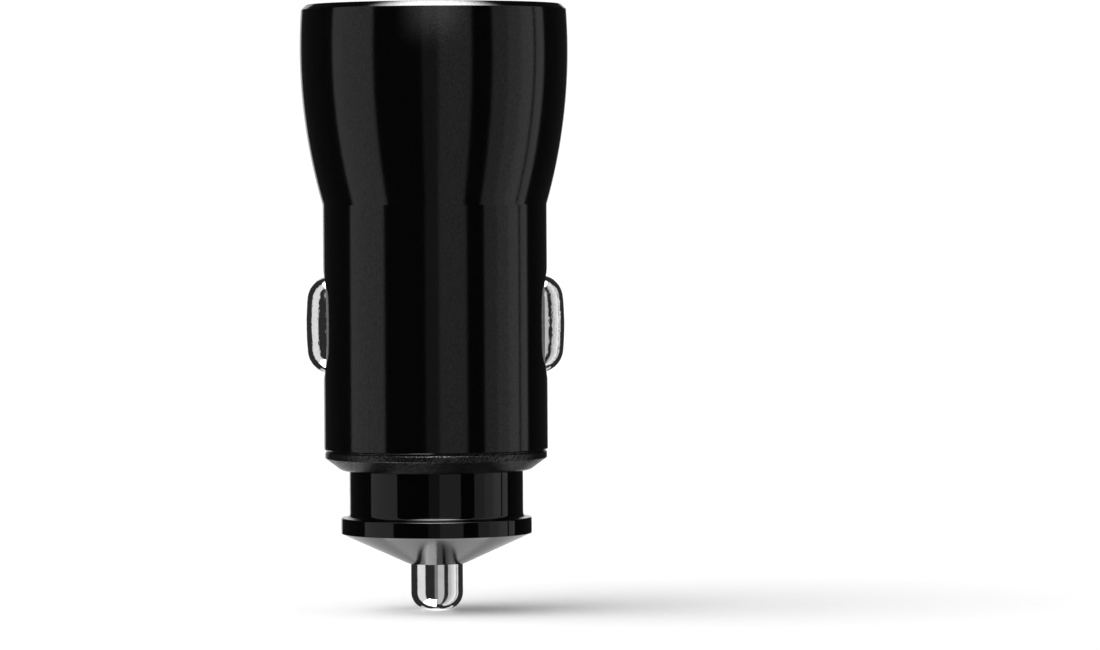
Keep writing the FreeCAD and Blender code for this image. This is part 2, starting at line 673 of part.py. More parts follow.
nodes = {
    "shell": make_shell(),
    "face_plate": make_face_plate(),
    "carrier": make_carrier(),
    "nose": make_nose(),
    "tip_contact": make_tip_contact(),
    "tip_spring": make_tip_spring(),
    "tip_terminal": make_tip_terminal(),
    "side_contact_right": side_contact,
    "side_contact_left": half_turned(side_contact),
    "contact_leaf_right": contact_leaf,
    "contact_leaf_left": half_turned(contact_leaf),
    "ground_strap_right": ground_strap,
    "ground_strap_left": half_turned(ground_strap),
    "main_board": make_main_board(),
    "usb_shell_rear": usb_shell,
    "usb_shell_front": half_turned(usb_shell),
    "usb_tongue_rear": usb_tongue,
    "usb_tongue_front": half_turned(usb_tongue),
    "usb_contacts_rear": usb_contacts,
    "usb_contacts_front": half_turned(usb_contacts),
    "power_inductor": make_inductor(inductor_z),
    "input_capacitor": make_can(-1, INPUT_CAN_D, input_can_z),
    "output_capacitor": make_can(1, OUTPUT_CAN_D, output_can_z),
    "buck_chip": make_chip(-1, buck_z),
    "buck_chip_leads": make_leads(-1, buck_z),
    "charge_chip": make_chip(1, charge_z),
    "charge_chip_leads": make_leads(1, charge_z),
    "rectifier_diode": on_board(-1, DIODE_WIDTH, DIODE_THICKNESS, diode_z, DIODE_HEIGHT),
    "input_fuse": on_board(1, FUSE_WIDTH, FUSE_THICKNESS, fuse_z, FUSE_HEIGHT),
    "chip_resistors": make_resistors(resistors_z),
}

os.makedirs("parts", exist_ok=True)
for name, shape in nodes.items():
    shape.exportStep(os.path.join("parts", name + ".step"))
    print(name, shape.ShapeType, len(shape.Solids), shape.isValid(), round(shape.Volume, 3))
print("widest radius", round(nodes["shell"].BoundBox.XLength / 2, 3), "tip end", round(tip_end_z, 3))
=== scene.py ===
import bmesh
import bpy
import math
import numpy as np
from mathutils import Matrix, Vector


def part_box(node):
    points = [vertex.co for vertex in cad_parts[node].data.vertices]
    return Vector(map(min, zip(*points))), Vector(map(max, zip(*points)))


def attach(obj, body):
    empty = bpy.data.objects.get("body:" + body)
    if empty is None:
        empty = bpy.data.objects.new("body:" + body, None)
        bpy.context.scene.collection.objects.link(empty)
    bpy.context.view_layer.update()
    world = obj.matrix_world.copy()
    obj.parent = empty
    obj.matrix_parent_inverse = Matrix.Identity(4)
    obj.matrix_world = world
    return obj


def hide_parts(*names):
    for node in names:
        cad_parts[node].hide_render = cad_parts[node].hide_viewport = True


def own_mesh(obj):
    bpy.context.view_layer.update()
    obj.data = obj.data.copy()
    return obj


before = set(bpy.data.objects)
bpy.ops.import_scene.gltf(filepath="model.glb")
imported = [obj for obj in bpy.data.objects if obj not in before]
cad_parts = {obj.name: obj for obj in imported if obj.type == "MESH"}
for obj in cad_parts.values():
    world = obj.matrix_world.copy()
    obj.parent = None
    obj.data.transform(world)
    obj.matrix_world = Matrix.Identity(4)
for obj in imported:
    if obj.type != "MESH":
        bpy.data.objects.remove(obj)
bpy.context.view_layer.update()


# Shell: one sleeve turned from aluminium bar, flared above the seating plane and straight below it, with a
# milled slot on each side for a ground contact. Bead-blasted lightly, black anodised and sealed to a gloss.
MM = 0.001
PLUG_R = 10.4
BORE_R = 9.4
HEAD_BORE_R = 10.473
FACE_SEAT_R = 11.423
RIM_TOP_R = 11.803
RIM_R = 12.303
HEAD_WIDEST_Z = 14.4
FLARE_STEPS = 60
FACE_LEDGE_Z = 17.0
HEAD_FLOOR_Z = 4.0
BORE_TOP_Z = 3.0
RIM_CHAMFER = 0.5
RIM_EDGE_ROUND = 0.06
SHELL_LOW_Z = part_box("shell")[0].z / MM
SHELL_TOP_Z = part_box("shell")[1].z / MM
LOWER_BREAK = 0.12
CREASE_HOLD = 0.03
CREASE_HOLD_DEGREES = 0.03
SLOT_Z = -11.1
SLOT_HALF_WIDTH = 2.35
SLOT_STRAIGHT = 2.725
SLOT_EDGE_ROUND = 0.08
PATCH_ANGLE = math.radians(33)
PATCH_ROWS = 24
PATCH_STEPS = 22
PATCH_TOP_Z = -3.7
PATCH_LOW_Z = 2 * SLOT_Z - PATCH_TOP_Z
STEP_ANGLE = math.radians(1.5)
COLUMNS = 240


def grid_faces(rows, columns, closed):
    """Quads of a grid of points stored row by row; a closed grid joins its last column to its first."""
    across = columns if closed else columns - 1
    i, j = np.meshgrid(np.arange(rows - 1), np.arange(across), indexing="ij")
    k = (j + 1) % columns
    quads = np.stack([i * columns + j, i * columns + k, (i + 1) * columns + k, (i + 1) * columns + j], -1)
    return quads.reshape(-1, 4)


def turned(profile, columns=COLUMNS):
    """Surface of revolution: each profile point (r, z) goes round Z, so x = r cos a and y = r sin a."""
    angle = np.arange(columns) * 2 * math.pi / columns
    r, z = profile[:, :1], profile[:, 1:]
    points = np.stack([r * np.cos(angle), r * np.sin(angle), np.broadcast_to(z, (len(r), columns))], -1)
    return points.reshape(-1, 3), grid_faces(len(profile), columns, True)


def arc_points(centre, radius, start, end, steps):
    """Points of a circular arc in the profile plane, angles in degrees from the outward direction."""
    a = np.radians(np.linspace(start, end, steps + 1))
    return np.stack([centre[0] + radius * np.cos(a), centre[1] + radius * np.sin(a)], -1)


def build_piece(name, surfaces, sharp_degrees=35):
    """Joins (points in mm, faces) surfaces into one object, welds their seams and shades all but its sharp edges."""
    starts = np.cumsum([0] + [len(points) for points, faces in surfaces])
    points = np.concatenate([points for points, faces in surfaces]) * MM
    faces = np.concatenate([faces + start for (p, faces), start in zip(surfaces, starts)])
    mesh = bpy.data.meshes.new(name)
    mesh.from_pydata(points, [], faces.tolist())
    welded = bmesh.new()
    welded.from_mesh(mesh)
    bmesh.ops.remove_doubles(welded, verts=welded.verts, dist=2e-7)
    bmesh.ops.dissolve_degenerate(welded, dist=1e-8, edges=welded.edges)
    bmesh.ops.recalc_face_normals(welded, faces=welded.faces)
    welded.to_mesh(mesh)
    welded.free()
    mesh.shade_smooth()
    mesh.set_sharp_from_angle(angle=math.radians(sharp_degrees))
    piece = bpy.data.objects.new(name, mesh)
    bpy.context.scene.collection.objects.link(piece)
    return piece


def slot_ring(half_width):
    """Slot outline (y, z) as a ring: each quarter runs up its straight side and half the end arc in as many steps as
    the patch has rows, then over the other half of the arc in the patch's steps, and is mirrored into the others."""
    half_arc = half_width * math.pi / 4
    side = SLOT_STRAIGHT + half_arc
    over = side + np.linspace(0, half_arc, PATCH_STEPS + 1)[1:]
    s = np.concatenate([np.linspace(0, side, PATCH_ROWS + 1), over])
    turn = np.maximum(s - SLOT_STRAIGHT, 0) / half_width
    y = half_width * np.cos(turn)
    z = np.minimum(s, SLOT_STRAIGHT) + half_width * np.sin(turn)
    return mirrored_ring(y, z)


def mirrored_ring(y, z):
    """Quarter outline from the y axis to the z axis, mirrored into a whole ring round the slot's centre."""
    ring_y = np.concatenate([y, -y[-2::-1], -y[1:], y[-2:0:-1]])
    ring_z = np.concatenate([z, z[-2::-1], -z[1:], -z[-2:0:-1]])
    return np.stack([ring_y, ring_z + SLOT_Z], -1)


def patch_ring(radius):
    """Border of the patch around a slot, with a point at every row and column of the wall that it joins."""
    rows = np.linspace(0, PATCH_TOP_Z - SLOT_Z, PATCH_ROWS + 1)
    turns = PATCH_ANGLE - np.arange(PATCH_STEPS + 1) * STEP_ANGLE
    y = np.concatenate([np.full(len(rows), radius * math.sin(PATCH_ANGLE)), radius * np.sin(turns)[1:]])
    z = np.concatenate([rows, np.full(PATCH_STEPS, rows[-1])])
    return mirrored_ring(y, z)


def slotted_wall(radius, top_z, low_z, half_width):
    """Cylinder with a slot at +X and at -X: whole bands above and below, strips between the slots, and around
    each slot rings that blend from its outline to the patch border, all at one radius."""
    surfaces = [turned(np.array([[radius, top_z], [radius, top_z - CREASE_HOLD], [radius, PATCH_TOP_Z]])),
                turned(np.array([[radius, PATCH_LOW_Z], [radius, low_z + CREASE_HOLD], [radius, low_z]]))]
    rows = np.linspace(PATCH_TOP_Z, PATCH_LOW_Z, 2 * PATCH_ROWS + 1)[:, None]
    angle = np.arange(PATCH_ANGLE, math.pi - PATCH_ANGLE + STEP_ANGLE / 2, STEP_ANGLE)
    strip = np.stack(np.broadcast_arrays(radius * np.cos(angle), radius * np.sin(angle), rows), -1)
    blend = (np.linspace(0, 1, 15) ** 1.4)[:, None, None]
    flat = slot_ring(half_width) * (1 - blend) + patch_ring(radius) * blend
    depth = np.sqrt(radius ** 2 - flat[..., 0] ** 2)
    patch = np.stack([depth, flat[..., 0], flat[..., 1]], -1)
    for turn in (1, -1):
        facing = np.array([turn, turn, 1])
        surfaces.append(((strip * facing).reshape(-1, 3), grid_faces(len(rows), len(angle), False)))
        surfaces.append(((patch * facing).reshape(-1, 3), grid_faces(len(blend), flat.shape[1], True)))
    return surfaces


def slot_wall():
    """Inner faces of both slots: the rounded edge rolls over from the outside, then runs straight to the bore."""
    roll = np.radians(np.linspace(0, 90, 5))
    grown = SLOT_EDGE_ROUND * (1 - np.sin(roll))
    sunk = SLOT_EDGE_ROUND * (1 - np.cos(roll))
    rings = [slot_ring(SLOT_HALF_WIDTH + g) for g in grown] + [slot_ring(SLOT_HALF_WIDTH)]
    radii = [PLUG_R] * len(grown) + [BORE_R]
    sinks = list(sunk) + [0]
    layers = [np.column_stack([np.sqrt(r ** 2 - ring[:, 0] ** 2) - s, ring]) for ring, r, s in
              zip(rings, radii, sinks)]
    wall = np.stack(layers)
    faces = grid_faces(len(layers), len(rings[0]), True)
    return [((wall * np.array([turn, turn, 1])).reshape(-1, 3), faces) for turn in (1, -1)]


rim_z = SHELL_TOP_Z - RIM_CHAMFER
flare_centre = ((RIM_R ** 2 + (rim_z - HEAD_WIDEST_Z) ** 2 - PLUG_R ** 2 - HEAD_WIDEST_Z ** 2)
                / (2 * (RIM_R - PLUG_R)))
flare_r = math.hypot(PLUG_R - flare_centre, HEAD_WIDEST_Z)
flare_low = math.degrees(math.atan2(-HEAD_WIDEST_Z, PLUG_R - flare_centre))
flare_high = math.degrees(math.atan2(rim_z - HEAD_WIDEST_Z, RIM_R - flare_centre))
flare = arc_points((flare_centre, HEAD_WIDEST_Z), flare_r, flare_low, flare_high, FLARE_STEPS)
hold_at = flare_low + CREASE_HOLD_DEGREES
flare_hold = arc_points((flare_centre, HEAD_WIDEST_Z), flare_r, hold_at, hold_at, 0)
rim_edge = arc_points((RIM_R - RIM_EDGE_ROUND, rim_z), RIM_EDGE_ROUND, flare_high, 45, 4)
rim_top_edge = arc_points((RIM_TOP_R, SHELL_TOP_Z - RIM_EDGE_ROUND), RIM_EDGE_ROUND, 45, 90, 4)
head_inside = np.array([[FACE_SEAT_R, SHELL_TOP_Z], [FACE_SEAT_R, FACE_LEDGE_Z], [HEAD_BORE_R, FACE_LEDGE_Z],
                        [HEAD_BORE_R, HEAD_FLOOR_Z], [BORE_R, BORE_TOP_Z]])
head_profile = np.concatenate([flare[:1], flare_hold, flare[1:-1], rim_edge, rim_top_edge, head_inside])
lower_profile = np.array([[BORE_R, SHELL_LOW_Z], [PLUG_R - LOWER_BREAK, SHELL_LOW_Z],
                          [PLUG_R, SHELL_LOW_Z + LOWER_BREAK]])
shell = build_piece("shell_skin", [turned(head_profile), turned(lower_profile)]
                    + slotted_wall(PLUG_R, 0, SHELL_LOW_Z + LOWER_BREAK, SLOT_HALF_WIDTH + SLOT_EDGE_ROUND)
                    + slotted_wall(BORE_R, BORE_TOP_Z, SHELL_LOW_Z, SLOT_HALF_WIDTH) + slot_wall())


def linear(hex_colour):
    """An sRGB hex colour as linear RGBA."""
    c = np.array([int(hex_colour[i:i + 2], 16) for i in (1, 3, 5)]) / 255
    rgb = np.where(c <= 0.04045, c / 12.92, ((c + 0.055) / 1.055) ** 2.4)
    return (*rgb.tolist(), 1.0)


def add_node(tree, kind, sockets, **settings):
    """Adds one shader node with its settings; a socket takes a value or another node's output."""
    node = tree.nodes.new("ShaderNode" + kind)
    for name, value in settings.items():
        setattr(node, name, value)
    for name, value in sockets.items():
        if isinstance(value, bpy.types.NodeSocket):
            tree.links.new(value, node.inputs[name])
        else:
            node.inputs[name].default_value = value
    return node


def mottled(name, sockets, grain_mm, detail, tones, fineness=0.5):
    """A Principled material whose colour wanders between two sRGB hex tones in a noise of one grain size; returns the
    material, its node tree, its shader and the noise's level."""
    made = bpy.data.materials.new(name)
    made.use_nodes = True
    tree = made.node_tree
    shader = tree.nodes["Principled BSDF"]
    for socket, value in sockets.items():
        shader.inputs[socket].default_value = value
    place = add_node(tree, "TexCoord", {}).outputs["Object"]
    noise = add_node(tree, "TexNoise", {"Vector": place, "Scale": 1 / (grain_mm * MM), "Detail": detail,
                                        "Roughness": fineness})
    tone = add_node(tree, "ValToRGB", {"Fac": noise.outputs["Fac"]})
    for element, hex_colour in zip(tone.color_ramp.elements, tones):
        element.color = linear(hex_colour)
    tree.links.new(tone.outputs["Color"], shader.inputs["Base Color"])
    return made, tree, shader, noise.outputs["Fac"]


# Anodised aluminium: dyed black oxide over a fine blast, sealed, so it mirrors softly and shows a faint grain.
# The blast's pits are about 0.12 mm, drawn a little coarser than real so that they show.
anodised, tree, shader, grain = mottled("black_anodised_aluminium", {"IOR": 1.45}, grain_mm=0.16, detail=3.0,
                                        tones=("#010101", "#040404"), fineness=0.6)
place = add_node(tree, "TexCoord", {}).outputs["Object"]
cloud = add_node(tree, "TexNoise", {"Vector": place, "Scale": 1 / (6 * MM), "Detail": 2.0})
gloss = add_node(tree, "MapRange", {"Value": cloud.outputs["Fac"], "To Min": 0.08, "To Max": 0.11})
glint = add_node(tree, "MapRange", {"Value": grain, "From Min": 0.35, "From Max": 0.75,
                                    "To Min": 0.26, "To Max": 0.48})
relief = add_node(tree, "Bump", {"Height": grain, "Strength": 0.15, "Distance": 0.02 * MM})
tree.links.new(gloss.outputs["Result"], shader.inputs["Roughness"])
tree.links.new(glint.outputs["Result"], shader.inputs["Specular IOR Level"])
tree.links.new(relief.outputs["Normal"], shader.inputs["Normal"])
shell.data.materials.append(anodised)
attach(shell, "housing")
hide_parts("shell")


# Carrier: the moulded inner sleeve; only its ring shows, under a shadow gap below the shell. ABS from a
# spark-eroded tool, so the ring is matt and speckled between the glossy shell and the glossy nose.
RING_R = 10.3
RING_SEAT_R = 10.0
CARRIER_R = 9.35
CARRIER_BORE_R = 8.15
CARRIER_TOP_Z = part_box("carrier")[1].z / MM
POCKET_HALF_WIDTH = 3.0
POCKET_FLOOR_X = 6.12
HOUSING_HALF_WIDTH = 3.8
HOUSING_BACK_X = 5.12
RING_GAP = 0.12
RING_GAP_Z = SHELL_LOW_Z - RING_GAP
RING_LOW_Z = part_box("carrier")[0].z / MM
RING_EDGE_ROUND = 0.15
RING_BEVEL = 1.58
RING_BEVEL_HEIGHT = 1.17
RING_UNDER_ROUND = 1.1
SPIGOT_R = 7.25
SPIGOT_TOP_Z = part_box("nose")[1].z / MM
BULKHEAD_THICKNESS = 1.2
BULKHEAD_TOP_Z = SPIGOT_TOP_Z + BULKHEAD_THICKNESS
SHANK_HOLE_R = 0.9
HOLD = 0.02


def rounded(corners, steps=8):
    """Closed profile through (r, z, round) corners, run outside upwards: each round is an arc tangent to both
    sides, and a holding point close to each end of a straight run keeps its shading flat."""
    spots = np.array(corners, float)
    pieces = []
    for corner, before, after in zip(spots, np.roll(spots, 1, 0), np.roll(spots, -1, 0)):
        into = (before[:2] - corner[:2]) / np.linalg.norm(before[:2] - corner[:2])
        out = (after[:2] - corner[:2]) / np.linalg.norm(after[:2] - corner[:2])
        half = math.acos(np.clip(into @ out, -1, 1)) / 2
        reach = corner[2] / math.tan(half)
        middle = (into + out) / np.linalg.norm(into + out)
        centre = corner[:2] + middle * corner[2] / math.sin(half)
        sweep = np.linspace(-1, 1, steps + 1) * (math.pi / 2 - half)
        across = np.array([-middle[1], middle[0]]) * np.sign(into[0] * out[1] - into[1] * out[0])
        bow = centre - corner[2] * (np.cos(sweep)[:, None] * middle - np.sin(sweep)[:, None] * across)
        bend = bow if corner[2] > 0 else corner[None, :2]
        pieces += [corner[None, :2] + into * (reach + HOLD), bend, corner[None, :2] + out * (reach + HOLD)]
    loop = np.concatenate(pieces)
    return np.concatenate([loop, loop[:1]])


def pockets(half_width, radius, floor_x):
    """Both pockets of a wall: a slot outline goes from the wall's radius straight to a flat floor, and the floor's
    rings shrink to its middle."""
    ring = slot_ring(half_width)
    mouth = np.column_stack([np.sqrt(radius ** 2 - ring[:, 0] ** 2), ring])
    shrink = np.linspace(1, 0, 6)[:, None, None]
    floor = (np.insert(ring, 0, floor_x, 1) - [floor_x, 0, SLOT_Z]) * shrink + [floor_x, 0, SLOT_Z]
    walls = np.concatenate([mouth[None], floor])
    faces = grid_faces(len(walls), len(ring), True)
    return [((walls * np.array([turn, turn, 1])).reshape(-1, 3), faces) for turn in (1, -1)]


ring_profile = rounded([
    (CARRIER_BORE_R, BULKHEAD_TOP_Z, 0),
    (SHANK_HOLE_R, BULKHEAD_TOP_Z, 0),
    (SHANK_HOLE_R, SPIGOT_TOP_Z, 0),
    (SPIGOT_R, SPIGOT_TOP_Z, 0),
    (SPIGOT_R, RING_LOW_Z, 0),
    (RING_R - RING_BEVEL, RING_LOW_Z, RING_UNDER_ROUND),
    (RING_R, RING_LOW_Z + RING_BEVEL_HEIGHT, RING_EDGE_ROUND),
    (RING_R, RING_GAP_Z, RING_EDGE_ROUND),
    (RING_SEAT_R, RING_GAP_Z, 0),
    (RING_SEAT_R, SHELL_LOW_Z, 0),
    (CARRIER_R, SHELL_LOW_Z, 0),
])[1:-2]
top_rim = np.array([[CARRIER_R, CARRIER_TOP_Z], [CARRIER_BORE_R, CARRIER_TOP_Z]])
carrier = build_piece("carrier_moulding", [turned(ring_profile), turned(top_rim)]
                      + slotted_wall(CARRIER_R, CARRIER_TOP_Z, SHELL_LOW_Z, POCKET_HALF_WIDTH)
                      + slotted_wall(CARRIER_BORE_R, CARRIER_TOP_Z, BULKHEAD_TOP_Z, HOUSING_HALF_WIDTH)
                      + pockets(POCKET_HALF_WIDTH, CARRIER_R, POCKET_FLOOR_X)
                      + pockets(HOUSING_HALF_WIDTH, CARRIER_BORE_R, HOUSING_BACK_X))

# ABS moulded against a spark-eroded tool: craters about 0.2 mm across whose floors glint while their rims stay
# dull, so any highlight breaks up into points.
textured, tree, shader, erosion = mottled("spark_textured_abs", {"IOR": 1.5, "Roughness": 0.22}, grain_mm=0.22,
                                          detail=4.0, tones=("#060606", "#101011"), fineness=0.65)
glint = add_node(tree, "MapRange", {"Value": erosion, "From Min": 0.42, "From Max": 0.68,
                                    "To Min": 0.08, "To Max": 0.7})
relief = add_node(tree, "Bump", {"Height": erosion, "Strength": 0.7, "Distance": 0.05 * MM})
tree.links.new(glint.outputs["Result"], shader.inputs["Specular IOR Level"])
tree.links.new(relief.outputs["Normal"], shader.inputs["Normal"])
carrier.data.materials.append(textured)
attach(carrier, "housing")
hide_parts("carrier")


# Nose: neck, flange and cone moulded in one and screwed up into the carrier. Polished black ABS, so the cone
# mirrors the tip and whatever lies under it.
NECK_R = 8.07
NOSE_FLANGE_R = 8.86
CONE_END_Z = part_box("nose")[0].z / MM
CONE_HEIGHT = 2.83
NOSE_FLANGE_HEIGHT = 1.48
NOSE_FLANGE_LOW_Z = CONE_END_Z + CONE_HEIGHT
NOSE_FLANGE_TOP_Z = NOSE_FLANGE_LOW_Z + NOSE_FLANGE_HEIGHT
NECK_FOOT_ROUND = 0.4
NOSE_EDGE_ROUND = 0.15
CONE_EDGE_ROUND = 0.06
CONE_DULL_START = 0.1
CONE_DULL_FULL = 0.3
TIP_HOLE_R = 2.52
CONE_LAND_R = 2.64
CONE_LAND_ROUND = 0.04
SPIGOT_CLEARANCE = 0.05
CORING_OUTER_R = 5.6
CORING_INNER_R = 4.32
CORING_FLOOR = 1.2
SPRING_BORE_R = 3.42
SHOULDER_THICKNESS = 1.5
SHOULDER_Z = CONE_END_Z + SHOULDER_THICKNESS
nose = build_piece("nose_moulding", [turned(rounded([
    (TIP_HOLE_R, CONE_END_Z, 0),
    (CONE_LAND_R, CONE_END_Z, CONE_LAND_ROUND),
    (NOSE_FLANGE_R, NOSE_FLANGE_LOW_Z, CONE_EDGE_ROUND),
    (NOSE_FLANGE_R, NOSE_FLANGE_TOP_Z, NOSE_EDGE_ROUND),
    (NECK_R, NOSE_FLANGE_TOP_Z, NECK_FOOT_ROUND),
    (NECK_R, RING_LOW_Z, 0),
    (SPIGOT_R - SPIGOT_CLEARANCE, RING_LOW_Z, 0),
    (SPIGOT_R - SPIGOT_CLEARANCE, SPIGOT_TOP_Z, 0),
    (CORING_OUTER_R, SPIGOT_TOP_Z, 0),
    (CORING_OUTER_R, NOSE_FLANGE_LOW_Z + CORING_FLOOR, 0),
    (CORING_INNER_R, NOSE_FLANGE_LOW_Z + CORING_FLOOR, 0),
    (CORING_INNER_R, SPIGOT_TOP_Z, 0),
    (SPRING_BORE_R, SPIGOT_TOP_Z, 0),
    (SPRING_BORE_R, SHOULDER_Z, 0),
    (TIP_HOLE_R, SHOULDER_Z, 0),
]))])

# ABS polished in the tool: a clean mirror with faint flow clouds a few millimetres long, duller on the cone.
polished, tree, shader = mottled("polished_black_abs", {"IOR": 1.5, "Specular IOR Level": 0.25}, grain_mm=3.0,
                                 detail=2.0, tones=("#010101", "#030303"))[:3]
height = add_node(tree, "SeparateXYZ", {"Vector": add_node(tree, "TexCoord", {}).outputs["Object"]})
gloss = add_node(tree, "MapRange", {"Value": height.outputs["Z"], "To Min": 0.16, "To Max": 0.06,
                                    "From Min": (NOSE_FLANGE_LOW_Z - CONE_DULL_FULL) * MM,
                                    "From Max": (NOSE_FLANGE_LOW_Z - CONE_DULL_START) * MM})
tree.links.new(gloss.outputs["Result"], shader.inputs["Roughness"])
nose.data.materials.append(polished)
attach(nose, "housing")
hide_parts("nose")


# Tip: the positive contact, turned from brass and bright nickel plated. Its collar rests on the nose's shoulder
# and its spring pushes it out.
TIP_R = 2.42
TIP_LOW_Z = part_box("tip_contact")[0].z / MM
TIP_END_ROUND = 1.75
COLLAR_R = 3.32
COLLAR_HEIGHT = 1.0
COLLAR_TOP_Z = SHOULDER_Z + COLLAR_HEIGHT
PEG_R = 2.0
PEG_HEIGHT = 1.1
PEG_TOP_Z = COLLAR_TOP_Z + PEG_HEIGHT
tip = build_piece("tip_pin", [turned(rounded([
    (0, TIP_LOW_Z, 0),
    (TIP_R, TIP_LOW_Z, TIP_END_ROUND),
    (TIP_R, SHOULDER_Z, 0),
    (COLLAR_R, SHOULDER_Z, 0),
    (COLLAR_R, COLLAR_TOP_Z, 0),
    (PEG_R, COLLAR_TOP_Z, 0),
    (PEG_R, PEG_TOP_Z, 0),
    (0, PEG_TOP_Z, 0),
], steps=20)[1:-2])])

# Bright nickel over polished brass: a near mirror, smudged over a millimetre or so and roughened by pits about 0.3 mm
# apart, so the edges of its reflections waver a little.
nickel, tree, shader, smudge = mottled("bright_nickel_plate", {"Metallic": 1.0}, grain_mm=1.2, detail=3.0,
                                       tones=("#d6d6d6", "#e8e8e8"))
gloss = add_node(tree, "MapRange", {"Value": smudge, "To Min": 0.05, "To Max": 0.1})
place = add_node(tree, "TexCoord", {}).outputs["Object"]
pits = add_node(tree, "TexNoise", {"Vector": place, "Scale": 1 / (0.3 * MM), "Detail": 4.0, "Roughness": 0.7})
relief = add_node(tree, "Bump", {"Height": pits.outputs["Fac"], "Strength": 0.12, "Distance": 0.03 * MM})
tree.links.new(gloss.outputs["Result"], shader.inputs["Roughness"])
tree.links.new(relief.outputs["Normal"], shader.inputs["Normal"])
tip.data.materials.append(nickel)
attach(tip, "tip")
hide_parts("tip_contact")


# Side contacts: hollow domes drawn from sheet and nickel plated, full round across, bowed along the face. A flange
# behind the shell's wall keeps each one in its slot while its leaf spring pushes it out.
CONTACT_FACE_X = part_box("side_contact_right")[1].x / MM
CONTACT_HALF = 4.575
CONTACT_HALF_WIDTH = 2.1
CONTACT_CORNER = 2.3
CONTACT_CROWN = 27.0
CONTACT_ROUND = 2.0
CONTACT_SHEET = 0.5
DOME_WALL_STEPS = 4
DOME_BEND_STEPS = 24
FLANGE_R = 9.3
FLANGE_BACK_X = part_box("side_contact_right")[0].x / MM
FLANGE_HALF_WIDTH = 2.85
FLANGE_HOLE_HALF_WIDTH = 1.8


def dome_skin(inset):
    """One skin of the dome, moved inwards by the inset. Its side outline is a straight wall, a corner arc, the bowed
    face and the same back; a grid point is the outline point moved in by round (1 - sin a) and sideways to
    round cos a beyond the flat, and below that the flanks drop straight to the foot."""
    half = CONTACT_HALF - inset
    corner = CONTACT_CORNER - inset
    crown = CONTACT_CROWN - inset
    bend = CONTACT_ROUND - inset
    lift = half - corner
    crown_x = CONTACT_FACE_X - inset - crown
    corner_x = crown_x + math.sqrt((crown - corner) ** 2 - lift ** 2)
    lean = math.atan2(lift, corner_x - crown_x)
    corner_turn = np.linspace(math.pi / 2, lean, DOME_BEND_STEPS + 1)
    crown_turn = np.linspace(lean, 0, DOME_BEND_STEPS + 1)[1:]
    angle = np.concatenate([np.full(DOME_WALL_STEPS, math.pi / 2), corner_turn, crown_turn])
    wall_x = np.linspace(FLANGE_BACK_X, corner_x, DOME_WALL_STEPS + 1)[:-1]
    bend_x = np.repeat([corner_x, crown_x], [len(corner_turn), len(crown_turn)])
    centre_x = np.concatenate([wall_x, bend_x])
    shares = [len(wall_x) + len(corner_turn), len(crown_turn)]
    centre_z = np.repeat([lift, 0], shares)
    radius = np.repeat([corner, crown], shares)
    normal = np.stack([np.cos(angle), np.sin(angle)], -1)
    path = np.stack([centre_x, centre_z], -1) + radius[:, None] * normal
    path = np.concatenate([path, path[-2::-1] * [1, -1]])
    normal = np.concatenate([normal, normal[-2::-1] * [1, -1]])
    roll = np.radians(np.linspace(0, 180, 37))
    inward = bend * (1 - np.sin(roll))
    aside = bend * np.cos(roll) + np.sign(np.cos(roll).round(9)) * (CONTACT_HALF_WIDTH - CONTACT_ROUND)
    flat = path[:, None] - inward[None, :, None] * normal[:, None]
    foot_z = np.linspace(1, -1, len(path))[:, None] * (half - bend)
    foot = np.stack([np.full_like(foot_z, FLANGE_BACK_X), foot_z], -1)
    flat = np.concatenate([foot, flat, foot], 1)
    aside = np.concatenate([aside[:1], aside, aside[-1:]])
    return np.stack([flat[..., 0], np.broadcast_to(aside, flat.shape[:2]), flat[..., 1] + SLOT_Z], -1)


def contact_dome():
    """Outer and inner skin, and the foot's rim between their borders: one end, a flank, the other end, a flank."""
    skins = [dome_skin(inset) for inset in (0, CONTACT_SHEET)]
    borders = [np.concatenate([skin[0], skin[1:, -1], skin[-1, -2::-1], skin[-2:0:-1, 0]]) for skin in skins]
    rim = np.stack(borders)
    return ([(skin.reshape(-1, 3), grid_faces(*skin.shape[:2], False)) for skin in skins]
            + [(rim.reshape(-1, 3), grid_faces(2, rim.shape[1], True))])


def contact_flange():
    """Slot-shaped plate around the dome's foot: rings from its hole out to its edge on a face that follows the
    shell's bore, then back to the hole on the flat rear."""
    rings = np.stack([slot_ring(w) for w in np.linspace(FLANGE_HOLE_HALF_WIDTH, FLANGE_HALF_WIDTH, 5)])
    front = np.concatenate([np.sqrt(FLANGE_R ** 2 - rings[..., :1] ** 2), rings], -1)
    rear = np.concatenate([np.full_like(rings[..., :1], FLANGE_BACK_X), rings], -1)
    plate = np.concatenate([front, rear[::-1], front[:1]])
    return plate.reshape(-1, 3), grid_faces(len(plate), rings.shape[1], True)


# Nickel over drawn and tumbled sheet: bright, but pebbled by pits about 0.25 mm apart that break up its reflections.
tumbled, tree, shader, pits = mottled("tumbled_nickel_plate", {"Metallic": 1.0}, grain_mm=0.25, detail=1.0,
                                      tones=("#d2d2d2", "#ececec"))
gloss = add_node(tree, "MapRange", {"Value": pits, "To Min": 0.04, "To Max": 0.08})
relief = add_node(tree, "Bump", {"Height": pits, "Strength": 0.6, "Distance": 0.03 * MM})
tree.links.new(gloss.outputs["Result"], shader.inputs["Roughness"])
tree.links.new(relief.outputs["Normal"], shader.inputs["Normal"])
for side, body, turn in (("right", "right_contact", 1), ("left", "left_contact", -1)):
    facing = np.array([turn, turn, 1])
    surfaces = [(points * facing, faces) for points, faces in contact_dome() + [contact_flange()]]
    contact = build_piece("ground_contact_" + side, surfaces, 50)
    contact.data.materials.append(tumbled)
    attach(contact, body)
    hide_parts("side_contact_" + side)


